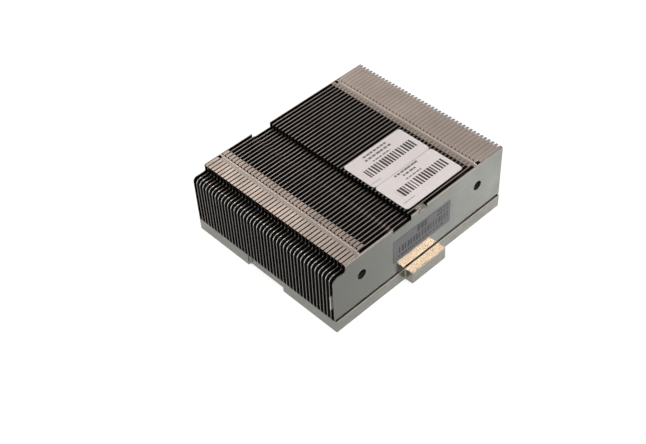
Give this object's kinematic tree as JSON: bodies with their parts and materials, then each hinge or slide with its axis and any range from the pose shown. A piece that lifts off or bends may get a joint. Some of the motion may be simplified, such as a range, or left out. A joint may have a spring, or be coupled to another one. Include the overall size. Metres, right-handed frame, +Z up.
{
  "type": "passive server cpu heatsink",
  "caption": "Passive air-cooled heatsink: thin interlocked upright fins between two end plates, soldered on a machined base with a clip lug on each side.",
  "frame": {"origin": "centre of the underside of the base plate", "axes": "+X across the fin stack towards the end plate with the lip, +Y along the fins with the air flow from the stepped front to the rear, +Z up from the base"},
  "size_m": [0.1046, 0.1128, 0.0382],
  "materials": {
    "base_metal": "machined and nickel plated plate, faint tool marks",
    "fin_metal": "thin rolled sheet, stamped and folded, satin",
    "end_plate_metal": "thin rolled sheet, stamped and folded, satin to shiny",
    "top_label_paper": "white paper label with plain printed bars",
    "side_label_film": "grey film label with plain printed bars"
  },
  "bodies": {
    "root": {"base_plate": "base_metal", "left_end_plate": "end_plate_metal", "right_end_plate": "end_plate_metal", "top_label_inner": "top_label_paper", "top_label_outer": "top_label_paper", "side_label": "side_label_film", "fin_01": "fin_metal", "fin_02": "fin_metal", "fin_03": "fin_metal", "fin_04": "fin_metal", "fin_05": "fin_metal", "fin_06": "fin_metal", "fin_07": "fin_metal", "fin_08": "fin_metal", "fin_09": "fin_metal", "fin_10": "fin_metal", "fin_11": "fin_metal", "fin_12": "fin_metal", "fin_13": "fin_metal", "fin_14": "fin_metal", "fin_15": "fin_metal", "fin_16": "fin_metal", "fin_17": "fin_metal", "fin_18": "fin_metal", "fin_19": "fin_metal", "fin_20": "fin_metal", "fin_21": "fin_metal", "fin_22": "fin_metal", "fin_23": "fin_metal", "fin_24": "fin_metal", "fin_25": "fin_metal", "fin_26": "fin_metal", "fin_27": "fin_metal", "fin_28": "fin_metal", "fin_29": "fin_metal", "fin_30": "fin_metal", "fin_31": "fin_metal", "fin_32": "fin_metal", "fin_33": "fin_metal", "fin_34": "fin_metal", "fin_35": "fin_metal", "fin_36": "fin_metal", "fin_37": "fin_metal", "fin_38": "fin_metal", "fin_39": "fin_metal", "fin_40": "fin_metal", "fin_41": "fin_metal"}
  },
  "joints": []
}
